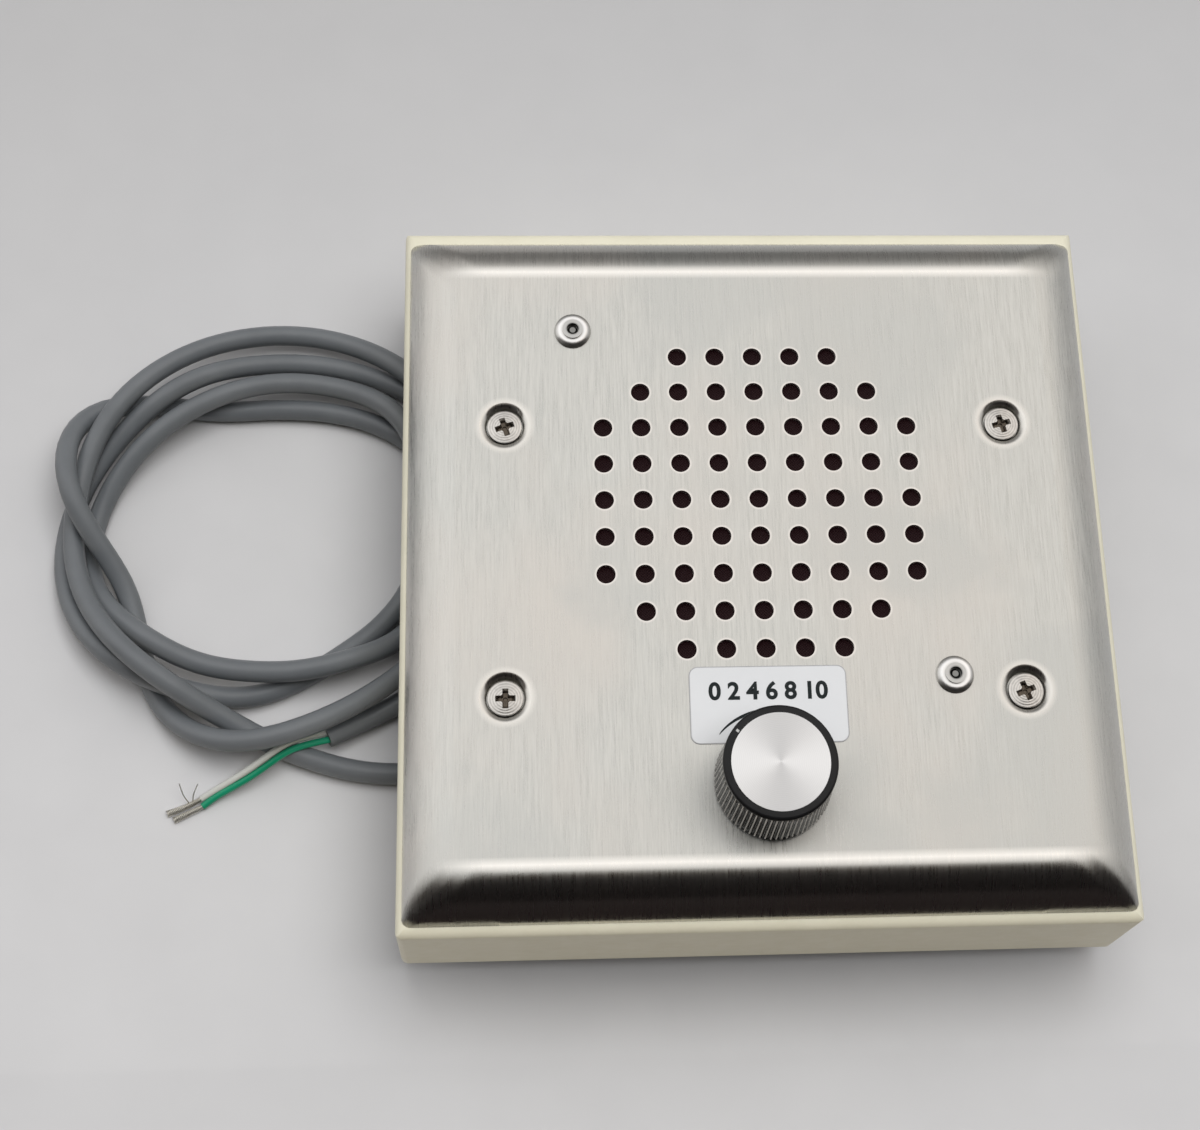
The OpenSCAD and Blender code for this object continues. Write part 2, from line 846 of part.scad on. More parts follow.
module terminal_lugs() {
    color("gold")
        for (side = [-1, 1]) at_terminals(side) terminal_lug();
}

// Leads that bend with the cone, from the lugs through a window of the basket
module tinsel_leads() {
    color("orangered")
        for (side = [-1, 1])
            at_speaker(flange_top)
                rotate(45) translate([0, side * 3.6, 0])
                    tube(smooth_path([for (stop = tinsel_stops) [stop[0], 0, stop[1] - 4]], 2), 0.4, 6, [0, 1, 0]);
}

// Volume control

module pot_case() {
    color("silver")
        at_knob(can_z) difference() {
            cylinder(h = 8, r = can_d / 2);
            translate([0, 0, can_sheet]) cylinder(h = 8, r = can_d / 2 - can_sheet);
            translate([-6.1, -can_d / 2 - 1, can_sheet]) cube([12.2, 4, track_t + 0.5]);
        }
}

module pot_bushing() {
    color("silver")
        at_knob() difference() {
            union() {
                translate([0, 0, plate_back - 1]) cylinder(h = 1, r = can_d / 2);
                translate([0, 0, plate_back - eps])
                    cylinder(h = bushing_top - plate_back + eps, r = bushing_r);
                translate([-1.1, -7.9, plate_back - eps]) cube([2.2, 1.2, 0.7]);
            }
            translate([0, 0, can_z]) cylinder(h = 30, r = shaft_r + 0.05);
        }
}

module pot_shaft() {
    color("lightgray")
        at_knob() difference() {
            union() {
                translate([0, 0, can_z + 2.2]) cylinder(h = knob_top - 1.6 - can_z - 2.2, r = shaft_r);
                translate([0, 0, can_z + 4.4]) cylinder(h = 3.3, r = shaft_r + 1);
            }
            // Flat that the set screw bears on
            translate([-4, shaft_r - 0.8, bushing_top + 0.6]) cube([8, 4, 20]);
        }
}

module pot_wiper() {
    color("orange")
        at_knob(can_z) difference() {
            union() {
                translate([0, 0, 1.9]) cylinder(h = 2.4, r = 4.6);
                rotate(index_angle) translate([0, -1.2, 1.5]) cube([6.9, 2.4, 1.2]);
            }
            translate([0, 0, 2.2]) cylinder(h = 4, r = shaft_r);
        }
}

module resistance_track() {
    color("saddlebrown")
        at_knob(can_z + can_sheet) difference() {
            union() {
                cylinder(h = track_t, r = can_d / 2 - can_sheet - 0.15);
                translate([-5.8, -11, 0]) cube([11.6, 8, track_t]);
            }
            translate([0, 0, -1]) cylinder(h = 3, r = 4.4);
        }
}

module pot_lugs() {
    color("gold")
        at_knob(can_z + can_sheet + track_t)
            for (x = lug_spots)
                translate([x, 0, 0]) difference() {
                    translate([-0.9, -14.4, 0]) cube([1.8, 5.4, 0.4]);
                    translate([0, -13.4, -1]) cylinder(h = 3, r = 0.6, $fn = 32);
                }
}

module pot_washer() {
    color("silver")
        at_knob(face_z) linear_extrude(0.6) difference() {
            circle(5.85);
            circle(bushing_r + 0.1);
        }
}

module pot_nut() {
    color("silver")
        at_knob(face_z + 0.6) difference() {
            cylinder(h = 2.2, r = 6 / cos(30), $fn = 6);
            translate([0, 0, -1]) cylinder(h = 5, r = bushing_r);
        }
}

// Star of fine ridges round the knob
module ridge_star(r) {
    polygon([
        for (i = [0:2 * ridges - 1])
            let (reach = r - (i % 2 == 0 ? 0 : 0.4))
            reach * [cos(180 * i / ridges), sin(180 * i / ridges)]
    ]);
}

// Ridged body with a smooth ring round its top
module knob_shell() {
    ring_r = knob_d / 2 - 0.5;
    ring_h = 1.1;
    edge_r = 0.4;
    linear_extrude(knob_h - ring_h, scale = (ring_r - 0.1) / (knob_d / 2)) ridge_star(knob_d / 2);
    translate([0, 0, knob_h - ring_h - eps]) rotate_extrude() {
        square([ring_r - edge_r, ring_h + eps]);
        square([ring_r, ring_h + eps - edge_r]);
        translate([ring_r - edge_r, ring_h + eps - edge_r]) circle(edge_r, $fn = 48);
    }
}

module knob_body() {
    color("#141414")
        at_knob(knob_z) difference() {
            knob_shell();
            translate([0, 0, -1]) cylinder(h = 5.25, r = 7.4);
            translate([0, 0, 4]) cylinder(h = knob_h - 5.2, r = 5);
            translate([0, 0, knob_h - 0.6]) cylinder(h = 2, r = inlay_d / 2);
            translate([0, 3, set_screw_z - knob_z]) rotate([-90, 0, 0]) cylinder(h = 10, r = 1.6, $fn = 32);
            rotate(index_angle) translate([inlay_d / 2 + 0.2, -0.2, knob_h - 0.5]) cube([0.5, 0.4, 2]);
        }
}

module knob_inlay() {
    color("silver")
        at_knob(knob_top - 0.6) cylinder(h = 0.7, r = inlay_d / 2);
}

module knob_index() {
    color("white")
        at_knob(knob_top - 0.5)
            rotate(index_angle) translate([inlay_d / 2 + 0.2, -0.2, 0]) cube([0.5, 0.4, 0.5]);
}

module knob_insert() {
    color("goldenrod")
        at_knob() difference() {
            translate([0, 0, knob_z + 4.25]) cylinder(h = knob_h - 5.45, r = 5);
            translate([0, 0, knob_z]) cylinder(h = knob_h - 1.6, r = shaft_r + 0.02);
            translate([0, 2, set_screw_z]) rotate([-90, 0, 0]) cylinder(h = 6, r = 1.5, $fn = 32);
        }
}

module knob_set_screw() {
    color("dimgray")
        at_knob(set_screw_z) rotate([-90, 0, 0]) difference() {
            translate([0, 0, shaft_r - 0.8]) cylinder(h = 5.6, r = 1.5, $fn = 32);
            translate([0, 0, shaft_r + 3.2]) cylinder(h = 3, r = 0.8, $fn = 6);
        }
}

// Cable and wiring

module cable_clamp() {
    bore = cable_d / 2;
    color("dimgray")
        translate([clip_x - clip_w / 2, 0, 0]) difference() {
            rotate([90, 0, 90]) linear_extrude(clip_w) difference() {
                union() {
                    translate([clip_y, clip_z]) circle(bore + clip_sheet, $fn = 64);
                    translate([clip_screw_y - 4, base_top])
                        square([clip_y - clip_screw_y + 4, clip_sheet]);
                    translate([clip_screw_y - 4, base_top + clip_sheet])
                        square([clip_y - clip_screw_y + 2, clip_sheet]);
                }
                translate([clip_y, clip_z]) circle(bore, $fn = 64);
            }
            translate([clip_w / 2, clip_screw_y, base_top - 1])
                cylinder(h = 5, r = screw_r + 0.15, $fn = 48);
        }
}

module clamp_screw() {
    color("silver")
        translate([clip_x, clip_screw_y, base_top + 2 * clip_sheet]) difference() {
            union() {
                cylinder(h = 1.7, r = 3, $fn = 48);
                translate([0, 0, -box_sheet - 2 * clip_sheet])
                    cylinder(h = box_sheet + 2 * clip_sheet + eps, r = screw_r, $fn = 48);
            }
            translate([0, 0, 1.7]) cross_recess(1.8, 1);
        }
}

module cable_lead() {
    color("gray")
        tube(concat([lead_stops[0]], [
            for (p = smooth_path([for (i = [1:len(lead_stops) - 1]) lead_stops[i]], 3)) p
        ]), cable_d / 2, 8);
}

module cable_coil() {
    echo(least_gap_of_the_heap_to_itself_mm = least_gap(dense(heap_path), cable_d));
    color("gray") tube(heap_path, cable_d / 2, 6);
}

module conductor_green() {
    color("seagreen") tube(smooth_path(green_stops, 2), core_d / 2, 8);
}

module conductor_white() {
    color("ivory") tube(smooth_path(white_stops, 2), core_d / 2, 8);
}

module conductor_strands() {
    color("silver") {
        for (bare = [green_bare, white_bare]) tube(smooth_path(bare, 3), 0.42, 8);
        for (stray = [stray_left, stray_right]) tube(smooth_path(stray, 3), 0.13, 6, [1, -1, 0]);
    }
}

module hookup_green() {
    color("seagreen") tube(smooth_path(hookup_green_stops, 3), core_d / 2, 6, [1, 0, 0]);
}

module hookup_white() {
    color("ivory") {
        tube(smooth_path(hookup_white_stops, 3), core_d / 2, 6, [1, 0, 0]);
        tube(smooth_path(hookup_link_stops, 3), core_d / 2, 6);
    }
}

module hookup_black() {
    color("#202020") tube(smooth_path(hookup_black_stops, 3), core_d / 2, 6);
}

surface_box();
base_plate();
box_screws();
faceplate();
cover_screws();
speaker_rivets();
volume_label();
grille_cloth();
speaker_gasket();
speaker_basket();
surround();
cone();
dust_cap();
spider();
voice_coil();
top_plate();
magnet();
pole_yoke();
terminal_strip();
terminal_lugs();
tinsel_leads();
pot_case();
pot_bushing();
pot_shaft();
pot_wiper();
resistance_track();
pot_lugs();
pot_washer();
pot_nut();
knob_body();
knob_inlay();
knob_index();
knob_insert();
knob_set_screw();
cable_clamp();
clamp_screw();
cable_lead();
cable_coil();
conductor_green();
conductor_white();
conductor_strands();
hookup_green();
hookup_white();
hookup_black();
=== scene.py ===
"""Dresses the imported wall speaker: camera, light, cable, wiring, label print and materials."""
import json
import math

import bpy
from mathutils import Euler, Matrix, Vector


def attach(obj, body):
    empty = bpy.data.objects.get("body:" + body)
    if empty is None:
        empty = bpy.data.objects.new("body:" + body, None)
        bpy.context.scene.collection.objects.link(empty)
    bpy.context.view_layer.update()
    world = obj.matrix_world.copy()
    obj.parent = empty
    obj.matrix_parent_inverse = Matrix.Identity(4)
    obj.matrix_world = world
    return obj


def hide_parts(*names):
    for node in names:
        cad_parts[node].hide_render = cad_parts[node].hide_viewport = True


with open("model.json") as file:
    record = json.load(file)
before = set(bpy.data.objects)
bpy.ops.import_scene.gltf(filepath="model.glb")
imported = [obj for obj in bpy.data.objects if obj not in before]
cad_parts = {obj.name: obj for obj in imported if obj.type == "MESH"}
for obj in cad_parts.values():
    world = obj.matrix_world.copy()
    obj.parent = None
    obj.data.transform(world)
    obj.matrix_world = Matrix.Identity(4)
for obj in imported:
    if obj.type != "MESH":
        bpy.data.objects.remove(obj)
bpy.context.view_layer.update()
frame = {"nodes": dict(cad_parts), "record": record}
nodes = frame["nodes"]

MM = 0.001

# The part's places and sizes in millimetres and degrees; the ridges are counted, the taper is a slope
FACE_Z = 39.1
LABEL_TOP = FACE_Z + 0.15
LABEL_Y = -26.2
LABEL_SIZE = (25.2, 12.5)
LABEL_CORNER = 1.5
KNOB_Y = -38.5
SPEAKER_Y = 8.4
PLATE_Y = -0.5
SCREWS_Y = -1.45
SCREW_SPAN = (83.34, 46.02)
BEND_Y = 50.25
HOLE_R = 1.56
HOLE_PITCH = 6.35
RIVET_OFFSET = 30.2
PLATE_SLIP = 0.15
HEAD_TOP = FACE_Z - 0.6
KNOB_Z = 39.75
KNOB_H = 12.35
SKIRT_R = 9.35
SKIRT_TAPER = 0.05
RIDGES = 68
RIDGE_DEPTH = 0.35
RIDGES_TOP = 11.2
INDEX_ANGLE = 142.8
SCREW_HOLE_Z = 46.75
SCREW_HOLE_R = 1.6
CAN_Z = 29.2
CLIP = Vector((-15, -38.5, 12.75))
INNER = Vector((57.55, 59.1))
CABLE_D = 3.7
CORE_D = 1.2

# The heap of cable: one row for each turn, how far out each station lies and
# how many layers high, wound clockwise from its start by the wall of the box
HEAP_MIDDLE = Vector((-80, 11.5))
HEAP_START = 300
HEAP_STATIONS = 64.45
STATIONS_PER_TURN = 16
LAYER_RISE = CABLE_D + 0.5
REACH_TURNS = [
    [45, 36.5, 31.5, 31, 33, 36, 38, 40.5, 42, 42.5, 41.5, 39, 36, 33.5, 31.5, 30.5],
    [30.5, 32.5, 35.8, 34, 29, 28.7, 39, 45.5, 32, 28.5, 28.5, 30, 31, 29, 27, 25.5],
    [23, 22, 22.5, 25, 29, 34.2, 34.5, 33, 32, 32, 32.5, 32, 27.5, 24, 22.5, 21],
    [20.5, 22.5, 26.5, 30.5, 35.5, 38.7, 39, 37.5, 36.5, 36.5, 37, 38, 40, 39, 36.5, 35],
    [33, 33.5],
]
LAYER_TURNS = [
    [0, 0, 0.8, 2.1, 2.05, 1.15, 1.05, 1.45, 1.1, 0.5, 0.5, 1.1, 0.6, 0.1, 0.1, 0.5],
    [1.1, 1.5, 1.4, 0.1, 0, 0.6, 2.6, 0.5, 0, 0, 0, 0, 0, 0, 0, 0.3],
    [1, 1, 1, 0.9, 1.3, 0.2, 0, 0.8, 1.1, 1, 0.6, 1.1, 0.8, 0.1, 0, 0],
    [0, 0, 0.1, 0.95, 1.1, 0.2, 0, 0.6, 1.45, 0.6, 0.2, 0, 0, 0, 0, 0],
    [0, 0.5],
]


# Routes

def smooth(values, s):
    """Value between the stations of a list, on a smooth curve through them."""
    i = math.floor(s)
    t = s - i
    a, b, c, d = (values[max(0, min(len(values) - 1, i + k))] for k in (-1, 0, 1, 2))
    return 0.5 * (2 * b + (c - a) * t + (2 * a - 5 * b + 4 * c - d) * t ** 2
                  + (3 * b - a - 3 * c + d) * t ** 3)


def smooth_path(stops, steps):
    """Round path through a few stops, with so many steps between two of them."""
    stops = [Vector(stop) for stop in stops]
    return [smooth(stops, i / steps) for i in range(steps * (len(stops) - 1) + 1)]


def heap_point(s):
    """Middle of the cable at station s of the heap."""
    angle = math.radians(HEAP_START - 360 / STATIONS_PER_TURN * s)
    reach = smooth([value for turn in REACH_TURNS for value in turn], s)
    layer = max(0, smooth([value for turn in LAYER_TURNS for value in turn], s))
    spot = HEAP_MIDDLE + reach * Vector((math.cos(angle), math.sin(angle)))
    return Vector((spot.x, spot.y, CABLE_D / 2 + LAYER_RISE * layer))


def eased(path, passes):
    """Path whose sharpest bends are eased, with its ends kept."""
    for _ in range(passes):
        middles = [(a + 2 * b + c) / 4 for a, b, c in zip(path, path[1:], path[2:])]
        path = [path[0]] + middles + [path[-1]]
    return path


def heap_path(steps_per_station=8):
    """The heap from the box outwards, straight for one diameter at both ends."""
    count = round(HEAP_STATIONS * steps_per_station)
    path = eased([heap_point(HEAP_STATIONS * i / count) for i in range(count + 1)], 12)
    first = path[0] + CABLE_D * (path[0] - path[1]).normalized()
    last = path[-1] + CABLE_D * (path[-1] - path[-2]).normalized()
    return [first] + path + [last]


def tube(name, paths, radius):
    """Round tubes along paths in millimetres, as one curve that rides on the housing."""
    curve = bpy.data.curves.new(name, "CURVE")
    curve.dimensions = "3D"
    curve.bevel_depth = 1
    curve.bevel_resolution = 5
    curve.use_fill_caps = True
    for path in paths:
        spline = curve.splines.new("POLY")
        spline.points.add(len(path) - 1)
        for point, spot in zip(spline.points, path):
            point.co = (*(spot * MM), 1)
            point.radius = radius * MM
        spline.use_smooth = True
    piece = bpy.data.objects.new(name, curve)
    bpy.context.scene.collection.objects.link(piece)
    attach(piece, "housing")
    return piece


def mesh_piece(name, spots, faces):
    """Piece in the scene with a mesh of its own, from spots in metres."""
    mesh = bpy.data.meshes.new(name)
    mesh.from_pydata(spots, [], faces)
    piece = bpy.data.objects.new(name, mesh)
    bpy.context.scene.collection.objects.link(piece)
    return piece


# Camera

def make_camera():
    """Camera at the photograph's place: 71 mm lens on a 36 mm wide frame, with a little shift."""
    camera = bpy.data.objects.new("camera", bpy.data.cameras.new("camera"))
    camera.data.sensor_width = 36
    camera.data.lens = 71
    camera.data.shift_x = -0.075
    camera.data.shift_y = -0.1958
    camera.data.clip_start = 0.01
    camera.location = (-0.041, -0.1228, 0.4047)
    camera.rotation_euler = Euler([math.radians(a) for a in (23.92, -3.93, -1.97)])
    bpy.context.scene.collection.objects.link(camera)
    bpy.context.scene.camera = camera


make_camera()


# Cable and wiring

heap = heap_path()
lead_ends = CLIP + Vector((7, 0, 0))
lead_stops = [
    heap[0],
    heap[0] + CABLE_D * (heap[0] - heap[1]).normalized(),
    (-44, -30, 2),
    (-38, -32, 2.65),
    (-32, -35, 5.85),
    (-26, -37.8, 10.55),
    (-21, -38.5, 12.75),
    lead_ends,
]
lead = [heap[0]] + smooth_path(lead_stops[1:], 6)
cable_path = lead[:0:-1] + heap

green_stops = [
    heap[-1] + Vector((0.6, -0.4, 0)),
    (-75.5, -22.7, 4.5),
    (-78.4, -23.6, 5),
    (-80.1, -24.9, 4.6),
    (-83, -26.8, 3.8),
    (-86, -28.6, 2.8),
    (-89, -29.8, 1.8),
    (-91.1, -30.7, 1),
    (-92.9, -32.2, 0.75),
]
white_stops = [
    heap[-1] + Vector((0.1, 0.8, 0)),
    (-75.5, -21.4, 4.7),
    (-78.4, -22.2, 5.1),
    (-81, -24, 5.1),
    (-83.4, -25.6, 4.4),
    (-86, -27.3, 3.4),
    (-89, -28.7, 2.2),
    (-91.4, -29.8, 1.2),
    (-93.2, -30.9, 0.75),
]
green_bare = [(-92.9, -32.2, 0.75), (-95.2, -33.3, 0.6), (-97.6, -34.4, 0.5)]
white_bare = [(-93.2, -30.9, 0.75), (-95.8, -32.2, 0.6), (-98.8, -33.3, 0.5)]
strays = [
    [(-95, -31.8, 0.7), (-96, -30.6, 2.2), (-96.6, -29, 4)],
    [(-94.6, -31.6, 0.7), (-94.4, -30.4, 2), (-93.6, -29, 3.4)],
]


def twisted(path, wires=7, spread=0.32, turn=60):
    """Fine wires laid in a slow spiral round a path, opening a little at its end."""
    paths = [path]
    for wire in range(wires):
        laid = []
        for i, spot in enumerate(path):
            ahead = (path[min(i + 1, len(path) - 1)] - path[max(i - 1, 0)]).normalized()
            side = ahead.cross(Vector((0, 0, 1))).normalized()
            up = side.cross(ahead)
            angle = math.radians(360 * wire / wires + turn * i)
            reach = spread * (1 + 0.8 * i / len(path))
            laid.append(spot + reach * (math.cos(angle) * side + math.sin(angle) * up))
        paths.append(laid)
    return paths


def make_cable():
    """The jacketed cable with its two stripped conductors and their strands."""
    cable = tube("cable", [cable_path], CABLE_D / 2)
    green = tube("stripped_green", [eased(smooth_path(green_stops, 4), 20)], CORE_D / 2)
    white = tube("stripped_white", [eased(smooth_path(white_stops, 4), 20)], CORE_D / 2)
    wires = []
    for bare in (green_bare, white_bare):
        wires += twisted(smooth_path(bare, 6))
    wires += [smooth_path(stray, 4) for stray in strays]
    strands = tube("bare_strands", wires, 0.1)
    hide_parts("cable_lead", "cable_coil")
    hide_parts("conductor_green")
    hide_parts("conductor_white")
    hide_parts("conductor_strands")


def at_lug(number, up=0):
    """Place of a lug of the volume control, counted from 0 at the left."""
    return Vector((4 * (number - 1), KNOB_Y - 13.4, CAN_Z + 1.4 + up))


def at_terminal(side):
    """Place of a terminal of the loudspeaker, on either side of its strip."""
    reach = 40 / math.sqrt(2)
    step = side * 4.5 / math.sqrt(2)
    return Vector((reach - step, SPEAKER_Y + reach + step, 30.2))


def make_hookups():
    """Round wires inside the box, in place of the plain ones."""
    green = [
        lead_ends + Vector((0, 0.8, 0.2)),
        lead_ends + Vector((4, 0, 1.5)),
        (-2.6, -44.5, 18.75),
        (-4, KNOB_Y - 12, CAN_Z - 4),
        at_lug(0),
    ]
    white = [
        lead_ends + Vector((0, -0.8, 0.2)),
        lead_ends + Vector((5, -2, 1)),
        (4.6, -44.5, 18.75),
        (4, KNOB_Y - 12, CAN_Z - 4),
        at_lug(2),
    ]
    link = [
        at_lug(2, 0.4),
        (9, KNOB_Y - 14, CAN_Z + 1),
        (26, 7 - INNER.y, 22),
        (INNER.x - 13.5, 17 - INNER.y, 20),
        (INNER.x - 11.5, 0, 20),
        (INNER.x - 11.5, 24, 21),
        (40, 31, 26),
        at_terminal(-1) + Vector((3, -2, -1.5)),
        at_terminal(-1),
    ]
    black = [
        at_lug(1),
        (0, KNOB_Y - 13.4, CAN_Z - 5),
        (22, 5.5 - INNER.y, 18),
        (INNER.x - 9.5, 15 - INNER.y, 17),
        (INNER.x - 7.7, 0, 17),
        (46, 36, 22),
        (34, 45, 26),
        at_terminal(1) + Vector((1.5, 3, -1.5)),
        at_terminal(1),
    ]
    radius = CORE_D / 2
    wires = {
        "hookup_green": tube("wire_green", [smooth_path(green, 6)], radius),
        "hookup_white": tube(
            "wire_white", [smooth_path(white, 6), smooth_path(link, 6)], radius),
        "hookup_black": tube("wire_black", [smooth_path(black, 6)], radius),
    }
    for node, wire in wires.items():
        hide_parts(node)


make_cable()
make_hookups()


# Knob

def turned_shell(name, outline, middle, ridges, sides_per_ridge=8):
    """Closed shell with round ridges, turned from rows of radius, height and ridge depth."""
    count = sides_per_ridge * ridges
    spots, rows = [], []
    for radius, height, depth in outline:
        rows.append(len(spots))
        for i in range(count if radius else 1):
            angle = 2 * math.pi * i / count
            reach = radius - depth * (0.5 - 0.5 * math.cos(ridges * angle))
            spot = Vector((reach * math.cos(angle), reach * math.sin(angle), height))
            spots.append((middle + spot) * MM)
    faces = []
    for k, (low, high) in enumerate(zip(rows, rows[1:])):
        for i in range(count):
            j = (i + 1) % count
            lower = [low + i, low + j] if outline[k][0] else [low]
            upper = [high + j, high + i] if outline[k + 1][0] else [high]
            faces.append(lower + upper)
    shell = mesh_piece(name, spots, faces)
    shell.data.shade_smooth()
    shell.data.set_sharp_from_angle(angle=math.radians(50))
    return shell


def cut(piece, tool):
    """Cuts the shape of a tool out of a piece, and drops the tool."""
    cutter = piece.modifiers.new("cut", "BOOLEAN")
    cutter.object = tool
    cutter.solver = "EXACT"
    bpy.context.view_layer.update()
    carved = bpy.data.meshes.new_from_object(piece.evaluated_get(bpy.context.evaluated_depsgraph_get()))
    piece.modifiers.clear()
    piece.data = carved
    bpy.data.objects.remove(tool)


def box_tool(low, high, turn, middle):
    """Block between two corners, turned about the upright axis through the middle."""
    corners = [
        Vector((x, y, z))
        for x in (low[0], high[0])
        for y in (low[1], high[1])
        for z in (low[2], high[2])
    ]
    sides = [(0, 1, 3, 2), (4, 6, 7, 5), (0, 4, 5, 1), (2, 3, 7, 6), (0, 2, 6, 4), (1, 5, 7, 3)]
    spin = Euler((0, 0, math.radians(turn))).to_matrix()
    return mesh_piece("tool", [(middle + spin @ corner) * MM for corner in corners], sides)


def drill_tool(radius, start, end, height, middle):
    """Round bar along +Y from start to end at a height, to drill with."""
    count = 32
    spots = []
    for y in (start, end):
        for i in range(count):
            angle = 2 * math.pi * i / count
            spot = Vector((radius * math.cos(angle), y, height + radius * math.sin(angle)))
            spots.append((middle + spot) * MM)
    sides = [(i, count + i, count + (i + 1) % count, (i + 1) % count) for i in range(count)]
    ends = [tuple(range(count)), tuple(reversed(range(count, 2 * count)))]
    return mesh_piece("tool", spots, sides + ends)


def on_ridges(spot):
    """Whether a spot of the knob, in metres, lies on its ridged side."""
    least_reach, foot = 8.3, 0.2
    away = Vector((spot.x, spot.y - KNOB_Y * MM)).length / MM
    return away > least_reach and foot < spot.z / MM - KNOB_Z < RIDGES_TOP


def make_knob(smooth_finish, ridge_finish):
    """The knob's black body, with rounder ridges than the solid that it stands for."""
    top = KNOB_H
    outline = [
        (0, top - 1.2, 0), (5, top - 1.2, 0), (5, 4.25, 0), (7.4, 4.25, 0), (7.4, 0, 0),
        (9.1, 0, RIDGE_DEPTH), (SKIRT_R, 0.25, RIDGE_DEPTH), (8.8, RIDGES_TOP, RIDGE_DEPTH),
        (8.85, RIDGES_TOP + 0.05, 0),
        (8.85, top - 0.4, 0), (8.8, top - 0.2, 0), (8.65, top - 0.05, 0), (8.45, top, 0),
        (7.6, top, 0), (7.6, top - 0.6, 0), (0, top - 0.6, 0),
    ]
    middle = Vector((0, KNOB_Y, KNOB_Z))
    knob = turned_shell("knob_shell", outline, middle, RIDGES)
    cut(knob, drill_tool(SCREW_HOLE_R, 3, 13, SCREW_HOLE_Z - KNOB_Z, middle))
    cut(knob, box_tool((7.8, -0.2, top - 0.5), (8.3, 0.2, top + 1), INDEX_ANGLE, middle))
    for finish in (smooth_finish, ridge_finish):
        knob.data.materials.append(finish)
    for face in knob.data.polygons:
        face.material_index = int(on_ridges(face.center))
    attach(knob, "knob")
    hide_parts("knob_body")


# Print on the label

def make_print():
    """Plain numbers in a row, and a wedge that grows the way the knob turns up."""
    text = bpy.data.curves.new("scale_numbers", "FONT")
    text.body = "0 2 4 6 8 10"
    text.align_x = "CENTER"
    text.size = 3.9 * MM
    text.offset = 0.12 * MM
    text.extrude = 0.015 * MM
    writer = bpy.data.objects.new("number_writer", text)
    bpy.context.scene.collection.objects.link(writer)
    bpy.context.view_layer.update()
    mesh = bpy.data.meshes.new_from_object(writer)
    bpy.data.objects.remove(writer)
    numbers = bpy.data.objects.new("scale_numbers", mesh)
    for vertex in mesh.vertices:
        vertex.co += Vector((0, LABEL_Y + 0.9, LABEL_TOP + 0.02)) * MM

    steps = 40
    start, sweep = 137, 37
    reach, thin_end, swell = 11, 0.05, 0.55
    inner, outer = [], []
    for i in range(steps + 1):
        angle = math.radians(start - sweep * i / steps)
        ray = Vector((math.cos(angle), math.sin(angle)))
        inner.append(Vector((0, KNOB_Y)) + reach * ray)
        outer.append(Vector((0, KNOB_Y)) + (reach + thin_end + swell * math.sqrt(i / steps)) * ray)
    spots = [Vector((*spot, LABEL_TOP + 0.03)) * MM for spot in inner + outer]
    faces = [(i, i + 1, steps + 2 + i, steps + 1 + i) for i in range(steps)]
    wedge_mesh = bpy.data.meshes.new("scale_wedge")
    wedge_mesh.from_pydata(spots, [], faces)
    wedge = bpy.data.objects.new("scale_wedge", wedge_mesh)
    for piece in (numbers, wedge):
        bpy.context.scene.collection.objects.link(piece)
        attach(piece, "housing")
    return numbers, wedge


# Materials

